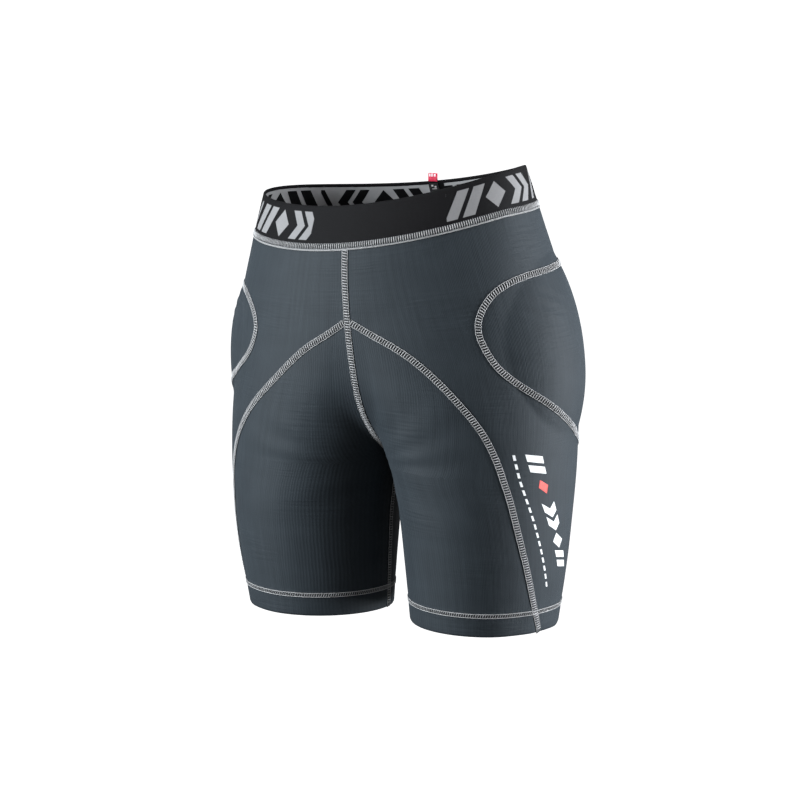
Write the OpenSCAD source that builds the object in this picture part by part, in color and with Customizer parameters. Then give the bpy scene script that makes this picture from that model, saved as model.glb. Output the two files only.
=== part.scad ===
// Padded impact shorts for snow sports, shaped as they stand on a wearer who faces -Y.
// The cloth is laid out by a pattern: every point of it is a place [w, d] on one half of the body,
// where d is the drop below the waistband's top edge and w runs round the half,
// from -1 at the centre front (and the inseam) over 0 at the outer side to 1 at the centre back.

/* [Garment] */
// Drop from the waistband's top edge to the hem, at the side
garment_drop = 434; // [420:1:450]
// Height of the elastic waistband
band_h = 40; // [30:1:45]
// Depth of the turned hem
hem_h = 22; // [12:1:30]
// Drop from the waistband's top edge to the crotch
crotch_drop = 275; // [268:1:282]

/* [Cloth] */
// Thickness of the compression knit
cloth_t = 1.4; // [0.8:0.1:2]
// Thickness of the elastic waistband
band_t = 2.4; // [1.6:0.1:3]
// Width of a flatlock seam
seam_w = 6; // [4:0.5:8]
// Thickness of the seam's thread
seam_t = 0.5; // [0.3:0.1:1]
// Thickness of the mesh that makes the pad pockets
mesh_t = 0.7; // [0.4:0.1:1]

/* [Pads] */
// Thickness in the middle of a hip pad
hip_pad_t = 12; // [8:0.5:14]
// Thickness in the middle of the tailbone pad
tail_pad_t = 11; // [8:0.5:14]
// Thickness of a pad at its rim
pad_rim_t = 3; // [2:0.5:5]
// How far the cloth stands out over a hip pad
hip_bulge = 11; // [6:0.5:14]

/* [Stance] */
// Tilt of the waist towards the wearer's right
waist_tilt = 7; // [0:0.5:9]
// How far the hips lie to the wearer's left of the waist's middle
hip_shift = 11; // [0:1:15]

/* [Hidden] */

LEFT = 1;
RIGHT = -1;
KNIT = "#35404a";
THREAD = "#a9afb5";
ELASTIC = "#17181b";
FOAM = "#2a2c30";
MESH = "#4a4f55";
LABEL_RED = "#b3202c";
PRINT_WHITE = "#e6e8ea";
PRINT_RED = "#d8332a";

// Clear space between a thread and the cloth under it, a pad and the cloth or mesh beside it,
// a pocket's rim and the cloth it is sewn to, and the waistband and the cloth below it
thread_gap = 0.45;
pad_gap = 1.3;
pocket_gap = 0.8;
band_gap = 0.4;
// Half of the slit between two panels, as a share of w
slit = 0.0015;
// Length of cloth per unit of w, used only to space points along a curve
round_len = 220;

// The body in cross-sections. Each leg or half is two quarter ellipses to the outside of a column and
// two to its inside, so a row gives: drop, outer half width, middle of the depth, front depth,
// back depth, column of the front, column of the back, inner edge.
BODY = [
    [0, 138, 1, 83, 90, 0, 0, -138],
    [band_h, 148, 4, 101, 106, 0, 0, -148],
    [110, 167, 5, 108, 121, 11, 25, -122],
    [180, 177, 2, 104, 122, 40, 51, -70],
    [230, 181, 0, 98, 115, 65, 67, -23],
    [crotch_drop, 181, -3, 91, 107, 79, 82, 0],
    [320, 179, -3, 86, 92, 92, 92, 9],
    [370, 175, -1, 81, 78, 95, 94, 13],
    [garment_drop, 165, 3, 76, 62, 95, 95, 17]
];
// Half width and reach of the rounded fold between the legs
fold_w = 22;
fold_reach = 70;
// Height above the crotch over which the cloth turns under
under = 60;
// Middle and half size of the bulge over a hip pad, in degrees round the body and in drop
bulge_mid = [8, 162];
bulge_half = [45, 80];
// The waist rises at the sides, and a little at the back
side_rise = 15;
back_rise = 4;
rise_reach = 220;
// Where the waist's tilt begins to fade, and where it has gone
tilt_from = 20;
tilt_to = 220;
// Middle of the waist opening's depth, which the origin lies on
waist_mid = BODY[0][2] + (BODY[0][4] - BODY[0][3]) / 2;
// How far the stance turns the cloth round the body, as a share of w, at each drop
TURN = [[0, 0], [110, 0.02], [180, 0.035], [230, 0], [280, -0.045], [330, -0.03], [390, -0.01],
        [garment_drop, 0]];

// Seams of one half, as places [w, d]
FRONT_THIGH = [[-1, 120], [-0.93, 134], [-0.825, 158], [-0.70, 199], [-0.59, 236], [-0.485, 280],
               [-0.43, 332], [-0.33, 390], [-0.21, garment_drop]];
HIP = [[0.62, 92], [0.3, 93], [0, 94], [-0.24, 97], [-0.36, 102], [-0.45, 111], [-0.52, 127], [-0.54, 144],
       [-0.5, 169], [-0.4, 187], [-0.24, 205], [-0.05, 225], [0.17, 244], [0.4, 260], [0.62, 272]];
BACK = [[0.66, band_h], [0.62, 92], [0.61, 180], [0.62, 272], [0.57, 350], [0.54, garment_drop]];
// The tailbone panel's edge from the waistband to its tip, w here counted from the centre back
TAIL = [[0.2, band_h], [0.205, 80], [0.18, 115], [0.125, 150], [0.055, 176], [0, 184]];
hip_mid = [0.08, 168];
tail_mid = [0, 104];
// Room left between two panels that meet at a curved seam, as a share of the inner one's size
seam_room = 0.008;
// Steps along a whole hip seam, and the first and last of those under a pocket's mouth
hip_steps = 62;
hip_mouth_from = 6;
hip_mouth_to = 20;
// Elastic tape along a pocket's mouth: its width, thickness, depth behind the mesh's rim,
// and how far it lies from the panel's middle, as a share of the way to the seam
binding_w = 5;
binding_t = 1;
binding_deep = 2.6;
binding_share = 0.945;
tail_binding_drop = 4;
tail_binding_step = 0.027;
// Size of a pad as a share of its panel, and of its pocket
hip_pad_share = 0.8;
// The w at which a hip pad is cut off towards the back, so that it passes through the waist
hip_pad_back = 0.4;
tail_pad_share = 0.8;
pocket_share = 0.965;

// ---- curves ----

function ease(a, b, x) = let (t = max(0, min(1, (x - a) / (b - a)))) t * t * (3 - 2 * t);

function span(rows, x, i = 0) = i >= len(rows) - 2 || x < rows[i + 1][0] ? i : span(rows, x, i + 1);

function slope(rows, i) =
    let (a = rows[max(i - 1, 0)], b = rows[min(i + 1, len(rows) - 1)]) (b - a) / (b[0] - a[0]);

// A smooth curve through rows whose first number is the place along it
function curve(rows, x) =
    let (i = span(rows, x), a = rows[i], b = rows[i + 1], h = b[0] - a[0], t = (x - a[0]) / h)
    a * (2 * t^3 - 3 * t^2 + 1) + slope(rows, i) * h * (t^3 - 2 * t^2 + t)
    + b * (3 * t^2 - 2 * t^3) + slope(rows, i + 1) * h * (t^3 - t^2);

function lengths(places, i = 0, sum = 0) =
    i == len(places) - 1 ? [sum]
    : let (step = places[i + 1] - places[i])
      concat([sum], lengths(places, i + 1, sum + norm([step[0] * round_len, step[1]])));

// n + 1 places [w, d] spaced evenly along a smooth curve through places
function along(places, n) =
    let (sums = lengths(places), rows = [for (i = [0:len(places) - 1]) [sums[i], places[i][0], places[i][1]]],
         total = sums[len(sums) - 1])
    [for (k = [0:n]) let (row = curve(rows, total * k / n)) [row[1], row[2]]];

// The w of a seam at one drop
function seam_at(places, d) = curve([for (p = places) [p[1], p[0]]], d)[1];

function straight(a, b, n) = [for (k = [0:n]) a + (b - a) * k / n];

// Drops from one above the crotch down to it, closer together where the cloth turns under
function to_crotch(from, high_n, low_n) = concat(straight(from, crotch_drop - under, high_n),
    [for (k = [low_n - 1:-1:1]) crotch_drop - under * (k / low_n)^2]);

// A row across a panel at one drop, with places closer together at its end on the inside of the leg
function across(w_from, w_to, d, n) =
    let (e = 1 + ease(150, crotch_drop, d))
    [for (k = [0:n]) [w_to + (w_from - w_to) * (1 - k / n)^e, d]];

// ---- the body's surface ----

// Half of the body at [w, d], before the stance: x outwards, y backwards
function half_point(w, d) =
    let (row = curve(BODY, d), depth = w < 0 ? row[3] : row[4], column = w < 0 ? row[5] : row[6],
         inside = column - row[7], end = row[7] < 0 ? 90 + asin(min(1, column / inside)) : 180,
         turn = 90 * w + sign(w) * (end - 90) * abs(w)^6, c = cos(turn),
         x = column + (c >= 0 ? row[1] - column : inside) * c,
         fold = fold_w * ease(crotch_drop, crotch_drop - fold_reach, d),
         q = min(0.9999, (column - fold) / inside), root = sqrt(1 - q * q),
         soft = sign(w) * depth * (root + q / (inside * root) * (x * x - fold * fold) / (2 * max(fold, 0.001))),
         y = c < 0 && abs(x) < fold ? soft : depth * sin(turn),
         far = norm([(turn - bulge_mid[0]) / bulge_half[0], (d - bulge_mid[1]) / bulge_half[1]]),
         bulge = hip_bulge * max(0, 1 - far * far))
    [x + bulge * cos(turn), row[2] + y + bulge * sin(turn)];

// The stance: the waist tilts and the hips shift to the side
function stance(x, y, d) =
    let (tilted = 1 - ease(tilt_from, tilt_to, d), raised = 1 - ease(0, rise_reach, d))
    [x + hip_shift * (1 - tilted), y - waist_mid,
     side_rise / 2 - d + tan(waist_tilt) * x * tilted + back_rise * y / 90 * (1 - ease(0, 200, d))
     - side_rise * (1 - min(1, abs(x) / BODY[0][1])^2) * raised];

function bare_skin(side, w, d) = let (p = half_point(w, d)) stance(p[0] * side, p[1], d);

function outwards(side, w, d) =
    let (round_way = bare_skin(side, w + 0.004, d) - bare_skin(side, w - 0.004, d),
         down_way = bare_skin(side, w, d + 1) - bare_skin(side, w, d - 1),
         n = cross(down_way, round_way) * side)
    n / norm(n);

// The cloth's outer face at [w, d], moved outwards by off
function skin(side, place, off = 0) =
    let (d = place[1], w = place[0] + side * curve(TURN, d)[1] * (1 - place[0]^2))
    bare_skin(side, w, d) + (off == 0 ? [0, 0, 0] : off * outwards(side, w, d));

// The same across the centre back, with v the distance from it, positive to the wearer's left
function back_skin(place, off = 0) =
    skin(place[0] >= 0 ? LEFT : RIGHT, [1 - abs(place[0]), place[1]], off);

// ---- solids ----

// Two triangles on four corners, turned over when flip is set
function quad(a, b, c, d, flip) = flip ? [[a, c, b], [a, d, c]] : [[a, b, c], [a, c, d]];

// A closed sheet between two equal grids of points, rows by columns. With ring set, the last column
// joins the first.
module sheet(outer, inner, flip, ring = false) {
    rows = len(outer);
    cols = len(outer[0]);
    all_points = concat([for (r = outer) each r], [for (r = inner) each r]);
    n = rows * cols;
    last = ring ? cols - 1 : cols - 2;
    faces_out = [for (i = [0:rows - 2], j = [0:last]) let (k = (j + 1) % cols)
        each quad(i * cols + j, i * cols + k, (i + 1) * cols + k, (i + 1) * cols + j, flip)];
    faces_in = [for (f = faces_out) [f[0] + n, f[2] + n, f[1] + n]];
    top = [for (j = [0:last]) let (k = (j + 1) % cols) each quad(k, j, j + n, k + n, flip)];
    low = [for (j = [0:last]) let (k = (j + 1) % cols, b = (rows - 1) * cols)
        each quad(b + j, b + k, b + k + n, b + j + n, flip)];
    sides = ring ? [] : [for (i = [0:rows - 2]) let (e = cols - 1) each concat(
        quad(i * cols, (i + 1) * cols, (i + 1) * cols + n, i * cols + n, flip),
        quad((i + 1) * cols + e, i * cols + e, i * cols + e + n, (i + 1) * cols + e + n, flip))];
    polyhedron(all_points, concat(faces_out, faces_in, top, low, sides));
}

// A closed sheet that fills a loop of places, as rings that shrink to a middle. lay(place, share)
// gives the [outer, inner] points.
module island(loop, middle, rings, flip, lay) {
    n = len(loop);
    pairs = concat([for (r = [0:rings - 1], p = loop) let (share = 1 - r / rings)
        lay(middle + (p - middle) * share, share)], [lay(middle, 0)]);
    m = len(pairs);
    all_points = concat([for (p = pairs) p[0]], [for (p = pairs) p[1]]);
    faces_out = concat(
        [for (r = [0:rings - 2], j = [0:n - 1]) let (k = (j + 1) % n)
            each quad(r * n + j, r * n + k, (r + 1) * n + k, (r + 1) * n + j, flip)],
        [for (j = [0:n - 1]) let (k = (j + 1) % n, b = (rings - 1) * n)
            flip ? [b + j, m - 1, b + k] : [b + j, b + k, m - 1]]);
    faces_in = [for (f = faces_out) [f[0] + m, f[2] + m, f[1] + m]];
    rim = [for (j = [0:n - 1]) let (k = (j + 1) % n) each quad(k, j, j + m, k + m, flip)];
    polyhedron(all_points, concat(faces_out, faces_in, rim));
}

// A flat tape along a row of [point, outward direction] pairs
module tape(line, width, low, high, ring = false) {
    n = len(line);
    section = [for (i = [0:n - 1])
        let (a = line[ring ? (i + n - 1) % n : max(i - 1, 0)], b = line[ring ? (i + 1) % n : min(i + 1, n - 1)],
             ahead = b[0] - a[0], across = cross(line[i][1], ahead), u = across / norm(across) * width / 2,
             p = line[i][0], up = line[i][1])
        [p - u + up * low, p + u + up * low, p + u + up * high, p - u + up * high]];
    last = ring ? n - 1 : n - 2;
    faces = [for (i = [0:last], k = [0:3]) let (j = (i + 1) % n, m = (k + 1) % 4)
        each quad(i * 4 + k, i * 4 + m, j * 4 + m, j * 4 + k, true)];
    ends = ring ? [] : concat(quad(0, 1, 2, 3, false), quad(n * 4 - 1, n * 4 - 2, n * 4 - 3, n * 4 - 4, false));
    polyhedron([for (s = section) each s], concat(faces, ends));
}

function skin_line(side, places) =
    [for (p = places) let (w = p[0] + side * curve(TURN, p[1])[1] * (1 - p[0]^2))
        [bare_skin(side, w, p[1]), outwards(side, w, p[1])]];

function back_line(places) =
    [for (p = places) skin_line(p[0] >= 0 ? LEFT : RIGHT, [[1 - abs(p[0]), p[1]]])[0]];

// Places once round the whole waist at one drop: left front to back, then right back to front
function round_waist(d, n) = concat(
    skin_line(LEFT, [for (k = [0:n - 1]) [2 * k / n - 1, d]]),
    skin_line(RIGHT, [for (k = [0:n - 1]) [1 - 2 * k / n, d]]));

module seam(line, ring = false) {
    color(THREAD) tape(line, seam_w, thread_gap, thread_gap + seam_t, ring);
}

// ---- cloth panels ----

module cloth(side, grid) {
    color(KNIT) sheet([for (r = grid) [for (p = r) skin(side, p)]],
                      [for (r = grid) [for (p = r) skin(side, p, -cloth_t)]], side > 0);
}

// The panel that wraps round the hip pad's panel, from the waist to the hem
module front_panel(side) {
    waist_n = 22;
    centre_n = 6;
    branch_n = 28;
    hem_n = 8;
    branch = along([for (p = FRONT_THIGH) p + [slit, 0]], branch_n);
    edge = concat(
        straight([BACK[0][0] - slit, band_h + band_gap], [-1 + slit, band_h + band_gap], waist_n),
        [for (k = [1:centre_n]) [-1 + slit, band_h + (FRONT_THIGH[0][1] - band_h) * k / centre_n]],
        [for (k = [1:branch_n]) branch[k]],
        [for (k = [1:hem_n]) branch[branch_n] + (BACK[5] - [slit, 0] - branch[branch_n]) * k / hem_n]);
    n = len(edge) - 1;
    pad_edge = [for (p = along(HIP, n)) p + (p - hip_mid) * seam_room];
    rows = 7;
    // The two ends follow the back seam
    function at(j, k) =
        let (a = pad_edge[j], b = edge[j], p = a + (b - a) * k / rows)
        j == 0 || j == n ? [seam_at(BACK, p[1]) - slit, p[1]] : p;
    cloth(side, [for (k = [rows:-1:0]) [for (j = [0:n]) at(j, k)]]);
}

// The panel between the front thigh seam and the inside of the leg
module thigh_panel(side) {
    cols = 12;
    first = FRONT_THIGH[0][1] + 3;
    cloth(side, [for (d = concat(to_crotch(first, 7, 8), straight(crotch_drop, garment_drop, 12)))
        across(seam_at(FRONT_THIGH, d) - slit, -1 + slit, d, cols)]);
}

// The panel over a hip pad: the hip seam closed along the back seam
module hip_panel(side) {
    color(KNIT) island(shrunk(hip_loop(36, 8), hip_mid, 1 - seam_room), hip_mid, 5, side > 0,
        function(p, share) [skin(side, p), skin(side, p, -cloth_t)]);
}

// A loop round the hip panel: n steps along the hip seam and m back up the back seam
function hip_loop(n, m) = let (a = HIP[len(HIP) - 1], b = HIP[0])
    concat(along(HIP, n), [for (k = [1:m - 1]) let (d = a[1] + (b[1] - a[1]) * k / m) [seam_at(BACK, d), d]]);

// The seat and back of the leg, from the back seam to the centre back, below the tailbone panel
module back_panel(side) {
    cols = 11;
    tip = TAIL[5][1];
    drops = concat(straight(band_h + band_gap, tip - 24, 9), [tip - 16, tip - 9, tip - 4, tip + 1, tip + 8],
                   to_crotch(tip + 18, 1, 8), straight(crotch_drop, garment_drop, 12));
    cloth(side, [for (d = drops)
        let (w_end = 1 - slit - (d < tip ? max(0, seam_at(TAIL, d)) : 0), w_start = seam_at(BACK, d) + slit)
        [for (k = [cols:-1:0]) across(w_start, w_end, d, cols)[k]]]);
}

// A loop round the tailbone panel, [v, d], from the waistband on the wearer's right round the tip:
// n steps down each side and m along the waistband
function tail_loop(n, m) =
    let (half = along(TAIL, n))
    concat([for (p = half) [-p[0], p[1]]], [for (k = [1:n]) half[n - k]],
           [for (k = [1:m - 1]) let (v = TAIL[0][0]) [v - 2 * v * k / m, band_h + band_gap]]);

module tailbone_panel() {
    color(KNIT) island(tail_loop(14, 10), tail_mid, 5, false, function(p, share)
        let (q = tail_mid + (p - tail_mid) * (1 - seam_room)) [back_skin(q), back_skin(q, -cloth_t)]);
}

// ---- waistband ----

module waistband() {
    around = 64;
    rows = 3;
    lines = [for (k = [0:rows]) round_waist(band_h * k / rows, around / 2)];
    color(ELASTIC) sheet([for (line = lines) [for (p = line) p[0]]],
                         [for (line = lines) [for (p = line) p[0] - p[1] * band_t]], false, true);
}

// ---- pads and their pockets ----

// Thickness of a pad at a share of the way from its middle to its rim
function pad_depth(middle_t, share) = pad_rim_t + (middle_t - pad_rim_t) * (1 - share^4);

// How far the pocket's mesh stands behind the cloth's outer face
function pocket_depth(middle_t, pad_share, share) =
    let (rim = cloth_t + pocket_gap,
         full = cloth_t + 2 * pad_gap + pad_depth(middle_t, min(1, share / pad_share)))
    rim + (full - rim) * ease(1, pad_share + 0.03, share);

// A pad's edge on the line from the middle to a place on the hip panel's edge
function hip_pad_edge(p) =
    let (reach = p - hip_mid, room = hip_pad_back - hip_mid[0],
         share = reach[0] * hip_pad_share > room ? room / reach[0] : hip_pad_share)
    hip_mid + reach * share;

module hip_pad(side) {
    color(FOAM) island([for (p = hip_loop(26, 6)) hip_pad_edge(p)], hip_mid, 5, side > 0,
        function(p, share) let (low = cloth_t + pad_gap)
            [skin(side, p, -low), skin(side, p, -low - pad_depth(hip_pad_t, share))]);
}

module tailbone_pad() {
    color(FOAM) island(shrunk(tail_loop(10, 8), tail_mid, tail_pad_share), tail_mid, 5, false,
        function(p, share) let (low = cloth_t + pad_gap)
            [back_skin(p, -low), back_skin(p, -low - pad_depth(tail_pad_t, share))]);
}

module hip_pocket(side) {
    color(MESH) island(shrunk(hip_loop(26, 6), hip_mid, pocket_share), hip_mid, 6, side > 0,
        function(p, share) let (deep = pocket_depth(hip_pad_t, hip_pad_share / pocket_share, share))
            [skin(side, p, -deep), skin(side, p, -deep - mesh_t)]);
}

module tailbone_pocket() {
    color(MESH) island(shrunk(tail_loop(10, 8), tail_mid, pocket_share), tail_mid, 6, false,
        function(p, share) let (deep = pocket_depth(tail_pad_t, tail_pad_share / pocket_share, share))
            [back_skin(p, -deep), back_skin(p, -deep - mesh_t)]);
}

// The elastic tape along a pocket's mouth, on the inner face of the mesh
module pocket_binding(line) {
    deep = cloth_t + pocket_gap + mesh_t + binding_deep;
    color(ELASTIC) tape([for (p = line) [p[0], -p[1]]], binding_w, deep, deep + binding_t);
}

function hip_mouth() = let (line = along(HIP, hip_steps))
    shrunk([for (k = [hip_mouth_from:hip_mouth_to]) line[k]], hip_mid, binding_share);

function tail_mouth() = [for (k = [-6:6]) [k * tail_binding_step, band_h + tail_binding_drop]];

function shrunk(places, middle, share) = [for (p = places) middle + (p - middle) * share];

// ---- seams ----

// The whole hip seam, its ends short of the back seam
function hip_seam_places() = let (line = along(HIP, hip_steps)) [for (k = [1:hip_steps - 1]) line[k]];

function back_seam_places() = let (line = along(BACK, 46)) [for (k = [1:46]) line[k]];

function front_thigh_places() = let (line = along(FRONT_THIGH, 50)) [for (k = [1:50]) line[k]];

function tail_seam_places() = let (half = along(TAIL, 20))
    concat([for (k = [1:20]) [-half[k][0], half[k][1]]], [for (k = [1:19]) half[20 - k]]);

// The w at which a leg's cloth has turned by an angle, found by halving the interval
function w_of(angle, low = 0, high = 1, n = 14) =
    let (mid = (low + high) / 2)
    n == 0 ? mid : 90 * (mid + mid^6) < angle ? w_of(angle, mid, high, n - 1) : w_of(angle, low, mid, n - 1);

module hem_seam(side) {
    steps = 26;
    half = [for (k = [0:steps]) w_of(180 * k / steps)];
    places = concat([for (k = [0:steps]) half[k]], [for (k = [1:steps - 1]) -half[steps - k]]);
    seam(skin_line(side, [for (w = places) [w, garment_drop - hem_h]]), true);
}

// ---- label and print ----

// Half width of the label, as a share of w, and its thickness
label_half = 0.023;
label_t = 0.5;
// Drops of the label's ends inside the band, and of its part above the band's top edge
label_low = [2, 17];
label_high = [-8, -0.6];

// A block across the centre back between two drops, behind the band; above the band it goes straight up
module label(drops) {
    steps = 3;
    deep = band_t + thread_gap;
    grid = [for (k = [0:steps]) let (d = drops[0] + (drops[1] - drops[0]) * k / steps)
        [for (v = [-label_half, 0, label_half]) [v, d]]];
    rise = [for (r = grid) [0, 0, max(0, -r[0][1])]];
    outer = [for (k = [0:steps]) [for (p = grid[k]) back_skin([p[0], max(0, p[1])], -deep) + rise[k]]];
    inner = [for (k = [0:steps]) [for (p = grid[k]) back_skin([p[0], max(0, p[1])], -deep - label_t)
        + rise[k]]];
    sheet(outer, inner, true);
}

module tag_base() {
    color(ELASTIC) label(label_low);
}

module tag_loop() {
    color(LABEL_RED) label(label_high);
}

// The print on the wearer's left thigh is a slanted column of bars: the place of its first corner,
// the way from one bar to the next, a bar's width in w and its share of the step, and the film's faces
print_start = [-0.37, 252];
print_step = [0.07, 25];
bar_w = 0.12;
bar_share = 0.72;
film = [0.25, 0.45];
accent_bar = 1;
white_bars = [0, 2, 3, 4];

module bar(index) {
    n = 3;
    grid = [for (k = [0:n]) let (p = print_start + print_step * (index + bar_share * k / n))
        [p, p + [bar_w / 2, 0], p + [bar_w, 0]]];
    sheet([for (r = grid) [for (p = r) skin(LEFT, p, film[1])]],
          [for (r = grid) [for (p = r) skin(LEFT, p, film[0])]], false);
}

module thigh_print() {
    color(PRINT_WHITE) for (k = white_bars) bar(k);
}

module thigh_print_accent() {
    color(PRINT_RED) bar(accent_bar);
}

// ---- the parts by name ----

module waist_seam() { seam(round_waist(band_h + 0.2, 38), true); }
module centre_front_seam() {
    seam(skin_line(LEFT, [for (d = to_crotch(band_h + 4, 20, 12)) [-1, d]]));
}
module centre_back_seam() {
    seam(skin_line(LEFT, [for (d = to_crotch(TAIL[5][1] + 4, 4, 12)) [1, d]]));
}
module inseam(side) {
    seam(skin_line(side, [for (d = straight(crotch_drop + 10, garment_drop, 16)) [1, d]]));
}

waistband();
front_panel(LEFT);  // front_panel_left
front_panel(RIGHT);  // front_panel_right
thigh_panel(LEFT);  // thigh_panel_left
thigh_panel(RIGHT);  // thigh_panel_right
hip_panel(LEFT);  // hip_panel_left
hip_panel(RIGHT);  // hip_panel_right
back_panel(LEFT);  // back_panel_left
back_panel(RIGHT);  // back_panel_right
tailbone_panel();
hip_pad(LEFT);  // hip_pad_left
hip_pad(RIGHT);  // hip_pad_right
tailbone_pad();
hip_pocket(LEFT);  // hip_pocket_left
hip_pocket(RIGHT);  // hip_pocket_right
tailbone_pocket();
pocket_binding(skin_line(LEFT, hip_mouth()));  // hip_pocket_binding_left
pocket_binding(skin_line(RIGHT, hip_mouth()));  // hip_pocket_binding_right
pocket_binding(back_line(tail_mouth()));  // tailbone_pocket_binding
waist_seam();
centre_front_seam();
centre_back_seam();
seam(skin_line(LEFT, front_thigh_places()));  // front_thigh_seam_left
seam(skin_line(RIGHT, front_thigh_places()));  // front_thigh_seam_right
seam(skin_line(LEFT, hip_seam_places()));  // hip_seam_left
seam(skin_line(RIGHT, hip_seam_places()));  // hip_seam_right
seam(skin_line(LEFT, back_seam_places()));  // back_seam_left
seam(skin_line(RIGHT, back_seam_places()));  // back_seam_right
inseam(LEFT);  // inseam_left
inseam(RIGHT);  // inseam_right
hem_seam(LEFT);  // hem_seam_left
hem_seam(RIGHT);  // hem_seam_right
seam(back_line(tail_seam_places()));  // tailbone_seam
tag_base();
tag_loop();
thigh_print();
thigh_print_accent();
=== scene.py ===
import math

import bpy
import numpy as np
from mathutils import Matrix, Vector
from mathutils.kdtree import KDTree


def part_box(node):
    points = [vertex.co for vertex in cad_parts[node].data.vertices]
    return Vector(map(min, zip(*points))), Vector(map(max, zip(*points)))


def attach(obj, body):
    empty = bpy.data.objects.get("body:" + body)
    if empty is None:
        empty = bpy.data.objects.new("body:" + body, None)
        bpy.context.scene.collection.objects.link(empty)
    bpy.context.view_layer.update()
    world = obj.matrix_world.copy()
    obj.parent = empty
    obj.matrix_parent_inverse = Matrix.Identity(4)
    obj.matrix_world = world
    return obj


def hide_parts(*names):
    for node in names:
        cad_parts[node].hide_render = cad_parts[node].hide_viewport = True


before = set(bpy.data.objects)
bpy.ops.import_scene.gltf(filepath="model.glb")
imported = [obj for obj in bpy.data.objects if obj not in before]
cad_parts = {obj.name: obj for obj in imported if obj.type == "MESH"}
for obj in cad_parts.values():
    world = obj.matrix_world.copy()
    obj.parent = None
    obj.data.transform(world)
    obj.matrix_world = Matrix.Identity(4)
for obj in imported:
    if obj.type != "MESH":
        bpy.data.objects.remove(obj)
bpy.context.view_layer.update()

MM = 0.001
LEFT, RIGHT = 1, -1
SIDES = {"left": LEFT, "right": RIGHT}

# ---- the garment's sizes, in millimetres, as the part's own source has them ----

garment_drop = 434
band_h = 40
hem_h = 22
crotch_drop = 275
cloth_t = 1.4
band_t = 2.4
# How far below the band the panels start, and the gaps round the hip and tailbone panels as shares of them
band_gap = 0.4
hip_gap, tail_gap = 0.008, 0.007
mesh_t = 0.7
pad_gap = 1.3
pocket_gap = 0.8
hip_pad_t = 12
tail_pad_t = 11
pad_rim_t = 3
hip_bulge = 11
waist_tilt = 7
hip_shift = 11
fold_w = 22
fold_reach = 70
under = 60
bulge_mid = (8, 162)
bulge_half = (45, 80)
side_rise = 15
back_rise = 4
rise_reach = 220
tilt_from, tilt_to = 20, 220
round_len = 220
slit = 0.0015
hip_mid = np.array([0.08, 168.0])
tail_mid = np.array([0.0, 104.0])
hip_pad_share = 0.8
tail_pad_share = 0.8
hip_pad_back = 0.4
pocket_share = 0.965
# A pocket's elastic binding, and where it runs
hip_steps = 62
mouth_from, mouth_to = 6, 20
binding_w = 5
binding_t = 1
binding_deep = 2.6
binding_share = 0.945
tail_mouth_drop = 4
tail_mouth_step = 0.027
# The label: half its width as a share of w, and the drops of its part inside the band
label_half = 0.023
label_low = (2, 17)
label_t = 0.55
# The print: its first corner, the way from bar to bar, a bar's width in w, and the row of ticks beside it
print_start = (-0.37, 252)
print_step = (0.07, 25)
bar_w = 0.12
tick_start, tick_end = (-0.45, 252), (-0.17, 391)
tick_w = 0.016
tick_count = 16
tick_share = 0.6

# Rows of the body: drop, outer half width, middle, front depth, back depth, front column, back column and
# inner edge
BODY = np.array([
    [0, 138, 1, 83, 90, 0, 0, -138],
    [band_h, 148, 4, 101, 106, 0, 0, -148],
    [110, 167, 5, 108, 121, 11, 25, -122],
    [180, 177, 2, 104, 122, 40, 51, -70],
    [230, 181, 0, 98, 115, 65, 67, -23],
    [crotch_drop, 181, -3, 91, 107, 79, 82, 0],
    [320, 179, -3, 86, 92, 92, 92, 9],
    [370, 175, -1, 81, 78, 95, 94, 13],
    [garment_drop, 165, 3, 76, 62, 95, 95, 17],
], float)
waist_mid = BODY[0, 2] + (BODY[0, 4] - BODY[0, 3]) / 2
TURN = np.array([[0, 0], [110, 0.02], [180, 0.035], [230, 0], [280, -0.045], [330, -0.03], [390, -0.01],
                 [garment_drop, 0]], float)
# Seams of one half, as places [w, d]: w runs from -1 at the centre front to 1 at the centre back
FRONT_THIGH = [[-1, 120], [-0.93, 134], [-0.825, 158], [-0.70, 199], [-0.59, 236], [-0.485, 280],
               [-0.43, 332], [-0.33, 390], [-0.21, garment_drop]]
HIP = [[0.62, 92], [0.3, 93], [0, 94], [-0.24, 97], [-0.36, 102], [-0.45, 111], [-0.52, 127], [-0.54, 144],
       [-0.5, 169], [-0.4, 187], [-0.24, 205], [-0.05, 225], [0.17, 244], [0.4, 260], [0.62, 272]]
BACK = [[0.66, band_h], [0.62, 92], [0.61, 180], [0.62, 272], [0.57, 350], [0.54, garment_drop]]
TAIL = [[0.2, band_h], [0.205, 80], [0.18, 115], [0.125, 150], [0.055, 176], [0, 184]]


# ---- the body's surface ----

def ease(a, b, x):
    t = np.clip((x - a) / (b - a), 0, 1)
    return t * t * (3 - 2 * t)


def curve(rows, x):
    """A smooth curve through rows, whose first column is the place along it."""
    x = np.asarray(x, float)
    at = rows[:, 0]
    last = len(rows) - 1
    i = np.clip(np.searchsorted(at, x, side="right") - 1, 0, last - 1)

    def slope(k):
        a, b = np.maximum(k - 1, 0), np.minimum(k + 1, last)
        return (rows[b] - rows[a]) / (at[b] - at[a])[..., None]

    h = (at[i + 1] - at[i])[..., None]
    t = (x - at[i])[..., None] / h
    return (rows[i] * (2 * t**3 - 3 * t**2 + 1) + slope(i) * h * (t**3 - 2 * t**2 + t)
            + rows[i + 1] * (3 * t**2 - 2 * t**3) + slope(i + 1) * h * (t**3 - t**2))


def along(places, n):
    """n + 1 places spaced evenly along a smooth curve through places."""
    p = np.array(places, float)
    steps = np.linalg.norm(np.diff(p, axis=0) * [round_len, 1], axis=1)
    sums = np.concatenate([[0], np.cumsum(steps)])
    return curve(np.column_stack([sums, p]), np.linspace(0, sums[-1], n + 1))[:, 1:]


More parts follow.
